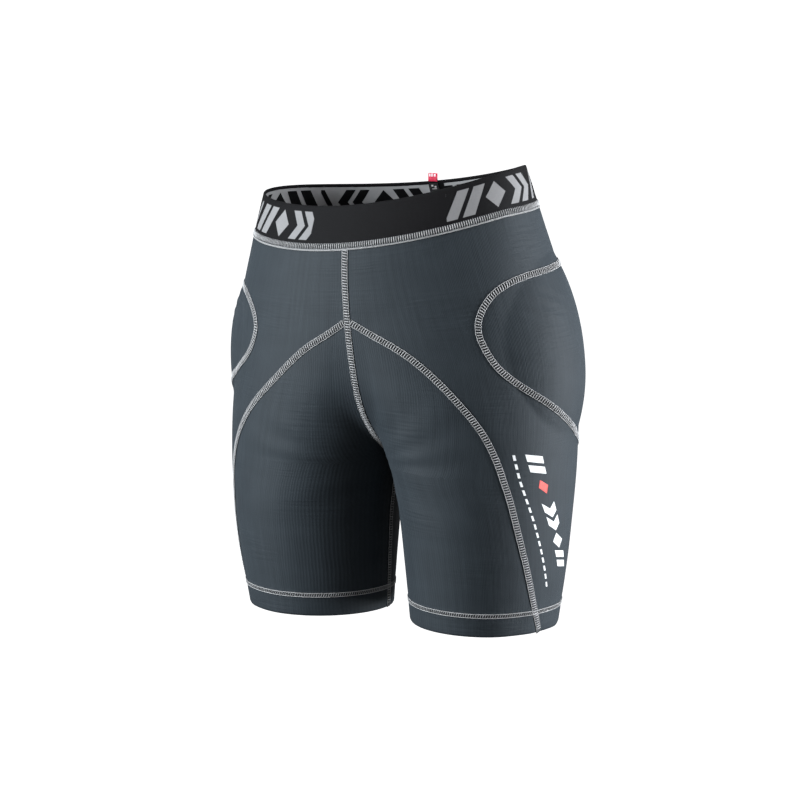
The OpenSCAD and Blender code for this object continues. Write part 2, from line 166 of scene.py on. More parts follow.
def seam_at(places, d):
    """The w of a seam at a drop."""
    p = np.array(places, float)
    return curve(p[:, ::-1], d)[..., 1]


def bare_skin(side, w, d):
    """The surface in millimetres at a place, before the stance has turned the cloth."""
    rows = curve(BODY, d)
    outer, mid, inner = rows[..., 1], rows[..., 2], rows[..., 7]
    depth = np.where(w < 0, rows[..., 3], rows[..., 4])
    column = np.where(w < 0, rows[..., 5], rows[..., 6])
    inside = column - inner
    end = np.where(inner < 0, 90 + np.degrees(np.arcsin(np.minimum(1, column / inside))), 180)
    degrees = 90 * w + np.sign(w) * (end - 90) * np.abs(w)**6
    turn = np.radians(degrees)
    c = np.cos(turn)
    x = column + np.where(c >= 0, outer - column, inside) * c
    fold = fold_w * ease(crotch_drop, crotch_drop - fold_reach, d)
    q = np.minimum(0.9999, (column - fold) / inside)
    root = np.sqrt(1 - q * q)
    soft = depth * (root + q / (inside * root) * (x * x - fold * fold) / (2 * np.maximum(fold, 0.001)))
    y = np.where((c < 0) & (np.abs(x) < fold), np.sign(w) * soft, depth * np.sin(turn))
    far = np.hypot((degrees - bulge_mid[0]) / bulge_half[0], (d - bulge_mid[1]) / bulge_half[1])
    bulge = hip_bulge * np.maximum(0, 1 - far**2)
    x = (x + bulge * c) * side
    y = mid + y + bulge * np.sin(turn)
    tilted = 1 - ease(tilt_from, tilt_to, d)
    z = (side_rise / 2 - d + math.tan(math.radians(waist_tilt)) * x * tilted
         + back_rise * y / 90 * (1 - ease(0, 200, d))
         - side_rise * (1 - np.minimum(1, np.abs(x) / BODY[0, 1])**2) * (1 - ease(0, rise_reach, d)))
    return np.stack([x + hip_shift * (1 - tilted), y - waist_mid, z], -1)


def surface(side, places):
    """Points on the cloth and the directions out of it, in millimetres, for places [w, d]."""
    places = np.asarray(places, float)
    w, d = places[..., 0], places[..., 1]
    w = w + side * curve(TURN, d)[..., 1] * (1 - w**2)
    round_way = bare_skin(side, w + 0.004, d) - bare_skin(side, w - 0.004, d)
    down_way = bare_skin(side, w, d + 1) - bare_skin(side, w, d - 1)
    out = np.cross(down_way, round_way) * np.asarray(side)[..., None]
    return bare_skin(side, w, d), out / np.linalg.norm(out, axis=-1, keepdims=True)


def from_back(places):
    """Sides and places for places [v, d] counted from the centre back, v positive to the wearer's left."""
    v, d = places[..., 0], places[..., 1]
    return np.where(v >= 0, LEFT, RIGHT), np.stack([1 - np.abs(v), d], -1)


# ---- lines and grids of places ----

def straight(a, b, n):
    return np.linspace(a, b, n + 1)


def to_crotch(start, high_n, low_n):
    """Drops from one above the crotch down to it, closer together where the cloth turns under."""
    low = crotch_drop - under * (np.arange(low_n - 1, 0, -1) / low_n)**2
    return np.concatenate([straight(start, crotch_drop - under, high_n), low])


def across(w_from, w_to, d, n):
    """A row of places at one drop, closer together at its end on the inside of the leg."""
    e = 1 + ease(150, crotch_drop, d)
    w = w_to + (w_from - w_to) * (1 - np.arange(n + 1) / n)**e
    return np.column_stack([w, np.full(n + 1, d)])


def rows_of(drops, w_from, w_to, n):
    return np.array([across(w_from(d), w_to(d), d, n) for d in drops])


def column_of(w, drops):
    """Places at the given drops, with one w for all of them or one for each."""
    return np.column_stack([np.full(len(drops), w), drops])


def hip_loop(n, m):
    """A loop round the hip panel: n steps along the hip seam and m back up the back seam."""
    low, high = HIP[-1][1], HIP[0][1]
    d = low + (high - low) * np.arange(1, m) / m
    return np.concatenate([along(HIP, n), np.column_stack([seam_at(BACK, d), d])])


def round_tail(n):
    """Places [v, d] round the tailbone panel, n steps up to its tip and n down again."""
    half = along(TAIL, n)
    return np.concatenate([half * [-1, 1], half[::-1][1:]])


def tail_loop(n, m):
    """A loop round the tailbone panel: n steps down each side and m along the band."""
    top = TAIL[0][0] * (1 - 2 * np.arange(1, m) / m)
    return np.concatenate([round_tail(n), column_of(top, np.full(m - 1, band_h + band_gap))])


def pattern_of(places):
    """Pattern coordinates in millimetres."""
    return places * [round_len, 1]


def rings(loop, middle, shares):
    """Loops of places that shrink to a middle, which is the last place of all."""
    places = [middle + (loop - middle) * share for share in shares]
    return np.concatenate(places + [middle[None]])


def ring_faces(n, count):
    """Faces of count loops of n places that shrink to one more place."""
    j = np.arange(n)
    last = (count - 1) * n
    tip = np.column_stack([last + j, last + (j + 1) % n, np.full(n, count * n)]).tolist()
    return grid_faces(count, n, around=True) + tip


def grid_faces(rows, cols, around=False, over=False):
    """Faces of a grid. around joins the last column to the first, and over the last row to the first."""
    i = np.arange(rows if over else rows - 1)[:, None]
    j = np.arange(cols if around else cols - 1)[None, :]
    i2, j2 = (i + 1) % rows, (j + 1) % cols
    corners = np.broadcast_arrays(i * cols + j, i * cols + j2, i2 * cols + j2, i2 * cols + j)
    return np.stack([c.ravel() for c in corners], -1).tolist()


# ---- meshes ----

def new_piece(name, points, faces, finish, body, coords, facts=None, crease=55, wrap=None):
    """A mesh object from points in millimetres. coords are its pattern coordinates, also in millimetres,
    and wrap is the length after which they start again on a piece that goes all round."""
    mesh = bpy.data.meshes.new(name)
    mesh.from_pydata((np.asarray(points) * MM).tolist(), [], faces)
    mesh.validate()
    piece = bpy.data.objects.new(name, mesh)
    bpy.context.scene.collection.objects.link(piece)
    corner = np.empty(len(mesh.loops), int)
    mesh.loops.foreach_get("vertex_index", corner)
    uv = np.array(coords, np.float32)[corner]
    if wrap:
        first = np.empty(len(mesh.polygons), int)
        count = np.empty(len(mesh.polygons), int)
        mesh.polygons.foreach_get("loop_start", first)
        mesh.polygons.foreach_get("loop_total", count)
        highest = np.repeat(np.maximum.reduceat(uv[:, 0], first), count)
        uv[:, 0] += np.where(highest - uv[:, 0] > wrap / 2, wrap, 0)
    mesh.uv_layers.new(name="pattern").data.foreach_set("uv", uv.ravel())
    for key, values in (facts or {}).items():
        mesh.attributes.new(key, "FLOAT", "POINT").data.foreach_set("value", np.asarray(values, np.float32))
    mesh.shade_smooth()
    mesh.set_sharp_from_angle(angle=math.radians(crease))
    mesh.materials.append(finish)
    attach(piece, body)
    return piece


def rim_of(faces):
    """The directed edges that only one face has."""
    used = dict.fromkeys((a, b) for f in faces for a, b in zip(f, f[1:] + f[:1]))
    return [(a, b) for a, b in used if (b, a) not in used]


def shell(name, points, out, high, low, faces, finish, body, coords, facts=None, crease=55):
    """A closed piece with two faces, high and low millimetres out of a surface."""
    a, b, c = np.array([f[:3] for f in faces[:200]]).T
    if (np.cross(points[b] - points[a], points[c] - points[a]) * out[a]).sum() < 0:
        faces = [f[::-1] for f in faces]
    n = len(points)
    upper, lower = points + out * high[:, None], points + out * low[:, None]
    rim = rim_of(faces)
    middle = np.array([a for a, _ in rim])
    seat = {a: 2 * n + k for k, a in enumerate(middle)}
    solid = faces + [[k + n for k in f[::-1]] for f in faces]
    solid += [[b, a, seat[a], seat[b]] for a, b in rim]
    solid += [[seat[b], seat[a], a + n, b + n] for a, b in rim]
    edge = edge_bulge(upper, lower, rim, middle)
    everywhere = np.concatenate([upper, lower, edge])
    coords = np.concatenate([coords, coords, coords[middle]])
    kept = {key: np.concatenate([v, v, v[middle]]) for key, v in (facts or {}).items()}
    kept["inner"] = np.concatenate([np.zeros(n), np.ones(n), np.full(len(middle), 0.5)])
    return new_piece(name, everywhere, solid, finish, body, coords, kept, crease)


def edge_bulge(upper, lower, rim, middle):
    """Points half way down a rim, pushed out a little so that the cut edge is round."""
    ahead = {a: b for a, b in rim}
    before = {b: a for a, b in rim}
    along_rim = np.array([upper[ahead[a]] - upper[before[a]] for a in middle])
    down = lower[middle] - upper[middle]
    push = np.cross(along_rim, down)
    push /= np.maximum(np.linalg.norm(push, axis=1, keepdims=True), 1e-6)
    thick = np.linalg.norm(down, axis=1, keepdims=True)
    return (upper[middle] + lower[middle]) / 2 - push * thick * 0.2


# ---- seams as lines on the cloth ----

class Line:
    """A line on the cloth that is read by length in millimetres."""

    def __init__(self, points, out, closed=False):
        if closed:
            points, out = np.vstack([points, points[:1]]), np.vstack([out, out[:1]])
        steps = np.linalg.norm(np.diff(points, axis=0), axis=1)
        self.at = np.concatenate([[0], np.cumsum(steps)])
        self.length = self.at[-1]
        self.closed = closed
        self.points = points
        self.out = out
        if closed:
            wrapped = np.vstack([points[-2], points, points[1]])
        else:
            wrapped = np.vstack([2 * points[0] - points[1], points, 2 * points[-1] - points[-2]])
        ahead = wrapped[2:] - wrapped[:-2]
        self.ahead = ahead / np.linalg.norm(ahead, axis=1, keepdims=True)

    def read(self, rows, s):
        if self.closed:
            s = np.mod(s, self.length)
        return np.stack([np.interp(s, self.at, rows[:, k]) for k in range(3)], -1)

    def lay(self, s, side, up):
        """Points at lengths s, side millimetres across and up millimetres out of the cloth."""
        out, ahead = self.read(self.out, s), self.read(self.ahead, s)
        sideways = np.cross(out, ahead)
        sideways /= np.linalg.norm(sideways, axis=-1, keepdims=True)
        return self.read(self.points, s) + sideways * side[..., None] + out * up[..., None]


def line_on(side, places, closed=False):
    points, out = surface(side, places)
    return Line(points + out * relief(side, places)[:, None], out, closed)


def round_waist(d, n):
    """Points and directions out of the cloth once round at one drop, n to each half."""
    w = 2 * np.arange(n) / n - 1
    parts = [surface(side, column_of(side * w, np.full(n, d))) for side in (LEFT, RIGHT)]
    return [np.concatenate(part) for part in zip(*parts)]


def round_leg(d, n):
    """A closed row of places round one leg, spaced by the angle that the cloth has turned."""
    w = np.linspace(0, 1, 400)
    half = np.interp(np.linspace(0, 180, n // 2 + 1), 90 * (w + w**6), w)
    return column_of(np.concatenate([half, -half[::-1][1:-1]]), np.full(n, d))


def relief(side, places):
    """Soft unevenness of the worn cloth, in millimetres out of the surface."""
    w, d = places[..., 0], places[..., 1]
    s = w * round_len
    slow = 0.30 * np.sin(d / 23 + 1.7 * w + side) * np.sin(s / 41 + 0.8 * side)
    below = np.maximum(d - crotch_drop, 0)
    above = np.maximum(crotch_drop - d, 0)
    reach = np.hypot((1 - np.abs(w)) * round_len, 0.8 * above + 1.3 * below)
    angle = np.arctan2(above + 0.3 * below, (1 - np.abs(w)) * round_len + 6)
    drag = 0.55 * np.sin(angle * 15 + 2 * side) * np.exp(-((reach - 42) / 34)**2)
    hem = 0.25 * np.sin(s / 11 + side) * ease(garment_drop - 60, garment_drop, d)
    folds = 0.30 * np.sin((d * 0.95 - s * 0.32) / 1.9) * np.exp(-((s + 36) / 30)**2 - ((d - 122) / 15)**2)
    calm = ease(band_h, band_h + 25, d) * (1 - np.abs(w)**8)
    return (slow + drag + hem + folds) * calm


# ---- shader maths ----

def maths(operation):
    """A method that takes its wire and its other arguments through a Math node."""
    return lambda self, *others: self.finish.node("ShaderNodeMath", {"operation": operation}, [self, *others])


class Wire:
    """A shader socket, or what it carries, that arithmetic can be written with."""

    __add__ = __radd__ = maths("ADD")
    __sub__ = maths("SUBTRACT")
    __mul__ = __rmul__ = maths("MULTIPLY")
    __truediv__ = maths("DIVIDE")
    __mod__ = maths("FLOORED_MODULO")
    __abs__ = maths("ABSOLUTE")
    sine = maths("SINE")
    floor = maths("FLOOR")
    most = maths("MAXIMUM")
    least = maths("MINIMUM")

    def __init__(self, finish, socket):
        self.finish = finish
        self.socket = socket

    def __rsub__(self, other):
        return self.finish.node("ShaderNodeMath", {"operation": "SUBTRACT"}, [other, self])

    def __lt__(self, other):
        """1 where this is less, with a soft edge a third of a unit wide."""
        return ((other - self) * 3 + 0.5).clamp()

    def clamp(self):
        return self.most(0).least(1)

    def wave(self):
        """A wave from 0 to 1, with this as its angle."""
        return self.sine() * 0.5 + 0.5

    def waves(self, pitch):
        """A wave from 0 to 1 for each pitch of this."""
        return (self * (2 * math.pi / pitch)).wave()


class Finish:
    """A material that is built node by node."""

    def __init__(self, name, **constants):
        self.material = bpy.data.materials.new(name)
        self.material.use_nodes = True
        self.tree = self.material.node_tree
        self.shader = self.tree.nodes["Principled BSDF"]
        for socket, value in constants.items():
            self.shader.inputs[socket.replace("_", " ")].default_value = value

    def node(self, kind, settings=None, inputs=(), output=0):
        node = self.tree.nodes.new(kind)
        for key, value in (settings or {}).items():
            setattr(node, key, value)
        pairs = inputs.items() if isinstance(inputs, dict) else enumerate(inputs)
        for key, value in pairs:
            if isinstance(value, Wire):
                self.tree.links.new(value.socket, node.inputs[key])
            else:
                node.inputs[key].default_value = value
        return Wire(self, node.outputs[output])

    def pattern(self):
        """The pattern coordinates in millimetres: round the body, and down from the waist."""
        place = self.node("ShaderNodeUVMap", {"uv_map": "pattern"})
        split = self.node("ShaderNodeSeparateXYZ", inputs=[place])
        return split, Wire(self, split.socket.node.outputs[1])

    def fact(self, name):
        return self.node("ShaderNodeAttribute", {"attribute_name": name}, output=2)

    def noise(self, x, y, detail=2.0):
        """Noise from about 0 to 1 at a point whose unit is one blotch."""
        point = self.node("ShaderNodeCombineXYZ", inputs=[x, y, 0.0])
        return self.node("ShaderNodeTexNoise", inputs={"Vector": point, "Scale": 1.0, "Detail": detail})

    def blend(self, share, low, high):
        """A colour between two, each a wire or three numbers."""
        ends = [c if isinstance(c, Wire) else (*c, 1.0) for c in (low, high)]
        inputs = {0: share, 6: ends[0], 7: ends[1]}
        return self.node("ShaderNodeMix", {"data_type": "RGBA"}, inputs, output=2)

    def paint(self, socket, value):
        self.tree.links.new(value.socket, self.shader.inputs[socket])

    def bump(self, height, depth, strength):
        """Height is from 0 to 1 and depth is in millimetres."""
        normal = self.node("ShaderNodeBump", inputs={"Strength": strength, "Distance": depth * MM,
                                                     "Height": height})
        self.paint("Normal", normal)


wale_pitch, course_pitch = 1.5, 1.1


def knit(name, dark, light):
    """Ribbed stretch knit: fine wales down the cloth, uneven streaks and faint ripples across it, and painted
    shade on its inside face.
    """
    f = Finish(name, Roughness=0.66, Sheen_Weight=0.16, Sheen_Roughness=0.28, Specular_IOR_Level=0.22,
               Sheen_Tint=(0.66, 0.76, 0.86, 1))
    u, v = f.pattern()
    near, inner = f.fact("near_seam"), f.fact("inner")
    wander = f.noise(u * 0.12, v * 0.02) * 9
    wales = (u * (2 * math.pi / wale_pitch) + wander).wave()
    courses = (v * (2 * math.pi / course_pitch) + wander + wales * 2.4).wave()
    streaks = f.noise(u * 0.32, v * 0.012)
    blotches = f.noise(u * 0.03, v * 0.05, 1.0)
    ripples = f.noise(u * 0.025, v * 0.33, 1.0)
    ripple_places = ((f.noise(u * 0.018 + 9, v * 0.022, 0.0) - 0.45) * 5).clamp()
    puckers = f.noise(u * 0.30, v * 0.30, 0.0)
    # inner takes a quarter off the tone on the inside face of the cloth: painted shade for the inside of the
    # shorts
    tone = (wales * 0.16 + streaks * 0.60 + blotches * 0.35 - 0.06 - inner * 0.25).clamp()
    f.paint("Base Color", f.blend(tone, dark, light))
    height = (wales * 0.16 + courses * 0.06 + streaks * 0.22 + ripples * ripple_places * 0.9
              + puckers * near * 1.3)
    f.bump(height, 0.55, 0.9)
    return f.material


def thread(name, dark, light):
    """Twisted thread, with painted shade down in its twist."""
    f = Finish(name, Roughness=0.55, Sheen_Weight=0.25, Sheen_Roughness=0.4)
    u, v = f.pattern()
    twist = (u * 5.2 + v * 4.1).wave()
    uneven = f.noise(u * 0.11, v * 0.4)
    # The twist darkens the colour as painted shade in its grooves; the uneven noise is the yarn's own
    f.paint("Base Color", f.blend((twist * 0.45 + uneven * 0.75 - 0.05).clamp(), dark, light))
    f.bump(twist, 0.12, 0.7)
    return f.material


def seam_bed(name, dark, light):
    """The cloth and looped thread that lie under the rungs of a seam."""
    f = Finish(name, Roughness=0.7, Sheen_Weight=0.3, Sheen_Roughness=0.4)
    u, v = f.pattern()
    loops = u.waves(1.45)
    edge = (abs(v) - 2.2).clamp()
    tone = (loops * 0.25 + edge * 0.30 + f.noise(u * 0.2, v * 0.5) * 0.3).clamp()
    f.paint("Base Color", f.blend(tone, dark, light))
    f.bump(loops, 0.2, 0.7)
    return f.material


# Half height of the woven blocks on the waistband, the drop of their middle and their repeat, in millimetres
block_h = 13.5
block_mid = 19.5
block_repeat = 118
# Where the blocks begin, in millimetres from the centre front: on the wearer's right and left
block_from = (-42, 99)
# Half of the plain stretch at the centre back, where the elastic is joined
join_half = 9
# Half the height of the light ground inside, and how much lighter it is painted than the blocks outside: the
# light ground is the back of the weave, and its extra lightness is painted light for the dim inside of the
# band
inside_h = 16.5
inside_painted_light = 1.9


def woven_blocks(u, v):
    """1 inside the blocks that are woven into the elastic: bars, chevrons and lozenges."""
    x = (u - block_from[1]) % block_repeat
    y = v - block_mid
    tall = abs(y)

    def bar(middle, half, lean):
        return abs(x - middle - y * lean) < half

    def chevron(middle, half, lean):
        return abs(x - middle - tall * lean) < half

    def lozenge(middle, wide, high):
        return (abs(x - middle) * (high / wide) + tall) < high

    bars = bar(11, 6.0, -0.5).most(bar(28, 6.0, -0.5)).most(bar(110, 2.8, -0.5))
    arrows = chevron(80, 5.0, -0.7).most(chevron(95, 5.0, -0.7))
    shapes = bars.most(arrows).most(lozenge(51, 11, 13))
    return shapes * (tall < block_h)


def elastic(name, black, grey, blocks=True):
    """Woven elastic: fine ribs, and light blocks outside that are dark on light inside, where the light
    ground is raised with painted light.
    """
    f = Finish(name, Roughness=0.7, Sheen_Weight=0.02, Sheen_Roughness=0.35, Specular_IOR_Level=0.12)
    u, v = f.pattern()
    ribs = v.waves(0.95)
    picks = u.waves(1.25)
    uneven = f.noise(u * 0.25, v * 0.7)
    weave = ribs * 0.6 + picks * 0.4
    ground = f.blend((weave * 0.5 + uneven * 0.4).clamp(), black, [4 * c for c in black])
    height = weave
    if blocks:
        inner = f.fact("inner") - 0.5
        inside = (inner * 20).clamp()
        worn = (u < block_from[0]).most(1 - (u < block_from[1]))
        join = (abs(abs(u) - band_half) < join_half)
        shapes = woven_blocks(u, v) * worn * (1 - join)
        body = (abs(v - block_mid) < inside_h) * worn * (1 - join)
        light = shapes * (1 - inside) + (body - shapes).clamp() * inside
        # The inside yarn is made lighter than the same yarn outside: painted light on the weave's own light
        # back
        inside_grey_and_painted_light = [inside_painted_light * c for c in grey]
        yarn = f.blend((weave * 0.55 + uneven * 0.45).clamp(), [0.72 * c for c in grey], grey)
        yarn = f.blend(inside, yarn, f.blend(weave, [0.8 * c for c in inside_grey_and_painted_light], inside_grey_and_painted_light))
        ground = f.blend(light, ground, yarn)
        height = weave + light * 0.8
    f.paint("Base Color", ground)
    f.bump(height, 0.22, 0.8)
    return f.material


def foam(name, dark, light):
    """Moulded foam with a fine grained skin, and painted shade in its grooves and air holes."""
    f = Finish(name, Roughness=0.58, Specular_IOR_Level=0.4)
    u, v = f.pattern()
    grain = f.noise(u * 1.4, v * 1.4, 3.0)
    cloud = f.noise(u * 0.05, v * 0.05)
    groove = f.fact("groove")
    # The groove fact takes tone off in the grooves and air holes: painted shade
    f.paint("Base Color", f.blend((grain * 0.5 + cloud * 0.5 - groove * 0.35).clamp(), dark, light))
    f.paint("Roughness", grain * 0.25 + 0.45)
    f.bump(grain, 0.25, 0.6)
    return f.material


hole_pitch, row_pitch = 2.6, 2.2


def open_mesh(name, dark, light):
    """Pocket mesh: rows of small holes, each row half a hole along from the last. The holes are not cut: each
    is painted dark, as painted shade where the mesh would be open, and bumped.
    """
    f = Finish(name, Roughness=0.75, Sheen_Weight=0.2)
    u, v = f.pattern()
    row = (v / row_pitch).floor()
    x = ((u + row * (hole_pitch / 2)) % hole_pitch) - hole_pitch / 2
    y = (v % row_pitch) - row_pitch / 2
    hole = ((x * x + y * y) < 0.55)
    # Each hole takes the dark colour: painted shade where one would see through the mesh
    f.paint("Base Color", f.blend(hole, light, dark))
    f.bump(1 - hole, 0.5, 0.9)
    return f.material


def woven_label(name, ground, mark, marks):
    """A woven label with a few plain marks: [middle u, middle v, half width, half height]."""
    f = Finish(name, Roughness=0.6, Sheen_Weight=0.3, Sheen_Roughness=0.35)
    u, v = f.pattern()
    weave = (u * 9).sine() * (v * 9).sine() * 0.5 + 0.5
    seen = None
    for mid_u, mid_v, half_u, half_v in marks:
        one = (abs(u - mid_u) * 3 < half_u * 3) * (abs(v - mid_v) * 3 < half_v * 3)
        seen = one if seen is None else seen.most(one)
    base = f.blend(weave, [0.7 * c for c in ground], ground)
    f.paint("Base Color", f.blend(seen, base, mark))
    f.bump(weave, 0.15, 0.6)
    return f.material


def film(name, colour):
    """Heat-transfer film that shows a little of the knit's wales."""
    f = Finish(name, Roughness=0.42, Specular_IOR_Level=0.45)
    u, v = f.pattern()
    wales = u.waves(wale_pitch)
    worn = f.noise(u * 0.35, v * 0.35, 3.0)
    f.paint("Base Color", f.blend((worn * 0.9 + wales * 0.15 - 0.2).clamp(), colour,
                                  [0.86 * c for c in colour]))
    f.bump(wales, 0.12, 0.7)
    return f.material


def pale_ground(name, colour, glow):
    """A plain pale ground that is bright mostly by its own light, like a sheet lit from behind."""
    f = Finish(name, Roughness=0.9, Specular_IOR_Level=0.0, Emission_Color=(1, 1, 1, 1),
               Emission_Strength=glow)
    place = f.node("ShaderNodeTexCoord", output=3)
    cloud = f.node("ShaderNodeTexNoise", inputs={"Vector": place, "Scale": 0.4})
    f.paint("Base Color", f.blend(cloud, [0.99 * c for c in colour], colour))
    return f.material


# ---- seams ----

def sweep(line, profile, step):
    """Points, faces and pattern coordinates of a solid strip: profile is a loop of (side, up) pairs."""
    n = max(3, int(round(line.length / step)))
    s = np.linspace(0, line.length, n + 1)[:n if line.closed else n + 1]
    side, up = np.array(profile, float).T
    k = len(profile)
    points = line.lay(np.repeat(s, k), np.tile(side, len(s)), np.tile(up, len(s)))
    faces = grid_faces(len(s), k, around=True, over=line.closed)
    if not line.closed:
        faces += [list(range(k))[::-1], [(len(s) - 1) * k + j for j in range(k)]]
    return points, faces, np.column_stack([np.repeat(s, k), np.tile(side, len(s))])


def strands(line, starts, ahead, side, up, radius, sides=5):
    """Short threads, one at each start: ahead, side and up say where their middle goes, in millimetres.
    Their ends are drawn in to a tip."""
    k = len(ahead)
    s = starts[:, None] + np.array(ahead)[None]
    middle = line.lay(s, np.broadcast_to(side, s.shape), np.broadcast_to(up, s.shape))
    out = line.read(line.out, s)
    way = np.gradient(middle, axis=1)
    way /= np.linalg.norm(way, axis=-1, keepdims=True)
    flat = np.cross(way, out)
    flat /= np.linalg.norm(flat, axis=-1, keepdims=True)
    rise = np.cross(flat, way)
    size = np.full(k, radius)
    size[[0, -1]] *= 0.45
    turn = np.arange(sides) * 2 * math.pi / sides
    ring = (flat[:, :, None] * np.cos(turn)[:, None] + rise[:, :, None] * np.sin(turn)[:, None])
    points = (middle[:, :, None] + ring * size[:, None, None]).reshape(-1, 3)
    one = np.array(grid_faces(k, sides, around=True))
    first = np.arange(len(starts)) * k * sides
    faces = (one[None] + first[:, None, None]).reshape(-1, 4).tolist()
    tips = first[:, None] + np.arange(sides)
    caps = tips[:, ::-1].tolist() + (tips + (k - 1) * sides).tolist()
    coords = np.column_stack([np.repeat(s.ravel(), sides), np.tile(turn, s.size)])
    return points, faces + caps, coords


def joined(parts):
    """Several (points, faces, coords) as one."""
    points, faces, coords, n = [], [], [], 0
    for p, f, c in parts:
        points.append(p)
        faces += [[x + n for x in face] for face in f]
        coords.append(c)
        n += len(p)
    return np.concatenate(points), faces, np.concatenate(coords)


def arch(high, n=5):
    """A thread's rise over its own length, as places along it from 0 to 1 and heights."""
    t = np.linspace(0, 1, n)
    return t, stitch_low + (high - stitch_low) * np.sin(t * math.pi)**0.7


# Each kind of seam: the bed's half width and its stitches' pitch; its edge threads as (side, radius); and its
# rungs' first side, last side, lean along the seam, height and radius
stitch_low = 0.30
edge_rise = 0.25
flatlock = dict(half=3.0, pitch=2.6, edges=[(2.9, 0.25), (-2.9, 0.25)], rung=(-2.8, 2.8, 0.9, 0.85, 0.43))
overlock = dict(half=3.8, pitch=2.3, edges=[(-2.4, 0.27), (-3.2, 0.27)], rung=(-1.6, 3.7, 0.2, 0.95, 0.42))
coverstitch = dict(half=2.4, pitch=2.4, edges=[(1.9, 0.30), (-1.9, 0.30)], rung=(-1.8, 1.8, 1.1, 0.6, 0.24))


def sew(node, line, kind, finishes):
    """A seam: its bed of cloth and looped thread, and the threads that are laid over it."""
    half = kind["half"]
    profile = [(half + 0.1, 0.0), (half - 0.3, 0.30), (half * 0.5, 0.36), (0, 0.24), (-half * 0.5, 0.36),
               (0.3 - half, 0.30), (-half - 0.1, 0.0), (-half, -0.35), (0, -0.45), (half, -0.35)]
    points, faces, coords = sweep(line, profile, 2.5)
    wrap = line.length if line.closed else None
    bed = new_piece(node + "_bed", points, faces, finishes["bed"], "shorts", coords, wrap=wrap)
    count = int(line.length / kind["pitch"])
    pitch = line.length / count
    starts = np.arange(count) * line.length / count
    if not line.closed:
        starts = starts[(starts > 0.6) & (starts < line.length - 3.0)]
    first, last, lean, high, radius = kind["rung"]
    places, heights = arch(high)
    parts = [strands(line, starts, places * lean, first + (last - first) * places, heights, radius)]
    for side, radius in kind["edges"]:
        places, heights = arch(stitch_low + edge_rise)
        parts.append(strands(line, starts, places * pitch * 1.25, side + 0.25 * (places - 0.5), heights,
                             radius))
    points, faces, coords = joined(parts)
    rungs = new_piece(node + "_stitches", points, faces, finishes["thread"], "shorts", coords,
                      wrap=wrap)
    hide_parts(node)
    return bed


def seam_lines():
    """Every seam by its node's name, as (line, kind)."""
    lines = {}
    tip = TAIL[-1][1]
    points, out = round_waist(band_h + 0.2, 380)
    lines["waist_seam"] = (Line(points, out, True), overlock)
    lines["centre_front_seam"] = (line_on(LEFT, column_of(-1, to_crotch(band_h + 1, 90, 40))), flatlock)
    lines["centre_back_seam"] = (line_on(LEFT, column_of(1, to_crotch(tip + 1, 20, 40))), flatlock)
    sides, places = from_back(round_tail(80))
    lines["tailbone_seam"] = (line_on(sides, places), flatlock)
    for name, side in SIDES.items():
        lines["front_thigh_seam_" + name] = (line_on(side, along(FRONT_THIGH, 200)[1:]), flatlock)
        lines["hip_seam_" + name] = (line_on(side, along(HIP, 240)[1:-1]), flatlock)
        lines["back_seam_" + name] = (line_on(side, along(BACK, 180)), flatlock)
        lines["inseam_" + name] = (line_on(side, column_of(1, straight(crotch_drop + 2, garment_drop, 70))),
                                   flatlock)
        leg = round_leg(garment_drop - hem_h, 220)
        lines["hem_seam_" + name] = (line_on(side, leg, True), coverstitch)
    return lines


# ---- cloth ----

class Near:
    """How close points are to a seam: 1 on it, and 0 some millimetres away."""

    def __init__(self, lines):
        places = np.concatenate([line.points for line, _ in lines.values()])
        self.tree = KDTree(len(places))
        for k, p in enumerate(places):
            self.tree.insert(p, k)
        self.tree.balance()

    def share(self, points, reach=4.5):
        far = np.array([self.tree.find(p)[2] for p in points])
        return np.exp(-(far / reach)**2)


stretch = 1.12
width_of_w = 235


def declare_cloth(places, thick_area):
    """Works out the panel as it was cut, the worn area without the stretch inside a rectangle of cloth, and
    keeps none of it: nothing is declared.
    """
    length = np.ptp(places[:, 1]) * MM / math.sqrt(stretch)
    area = thick_area / stretch
    width = max(np.ptp(places[:, 0]) * width_of_w * MM / math.sqrt(stretch), area / length * 1.01)


def area_of(points, faces):
    """The area in square metres of one face of a sheet."""
    a, b, c = np.array([(f[0], f[k], f[k + 1]) for f in faces for k in range(1, len(f) - 1)]).T
    doubled = np.linalg.norm(np.cross(points[b] - points[a], points[c] - points[a]), axis=1)
    return doubled.sum() / 2 * MM * MM


def cloth_panel(node, sides, places, faces, finish, near):
    points, out = surface(sides, places)
    lift = relief(sides, places)
    by_seam = near.share(points)
    drop = places[:, 1]
    hem = ease(garment_drop - hem_h - 1, garment_drop - hem_h + 1, drop)
    tuck = 0.75 * ease(garment_drop - 2, garment_drop, drop)
    high = lift - 0.35 * by_seam + 0.2 * hem - tuck
    low = lift - cloth_t - 0.7 * hem + tuck
    piece = shell(node + "_cloth", points, out, high, low, faces, finish, "shorts",
                  pattern_of(places), {"near_seam": by_seam})
    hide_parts(node)
    declare_cloth(places, area_of(points, faces))
    return piece


def hem_drops(start, n):
    """Drops down to the hem, with a few close to the edge to round it."""
    return np.concatenate([straight(start, garment_drop - 3, n), garment_drop - np.array([2, 1.2, 0.5, 0])])


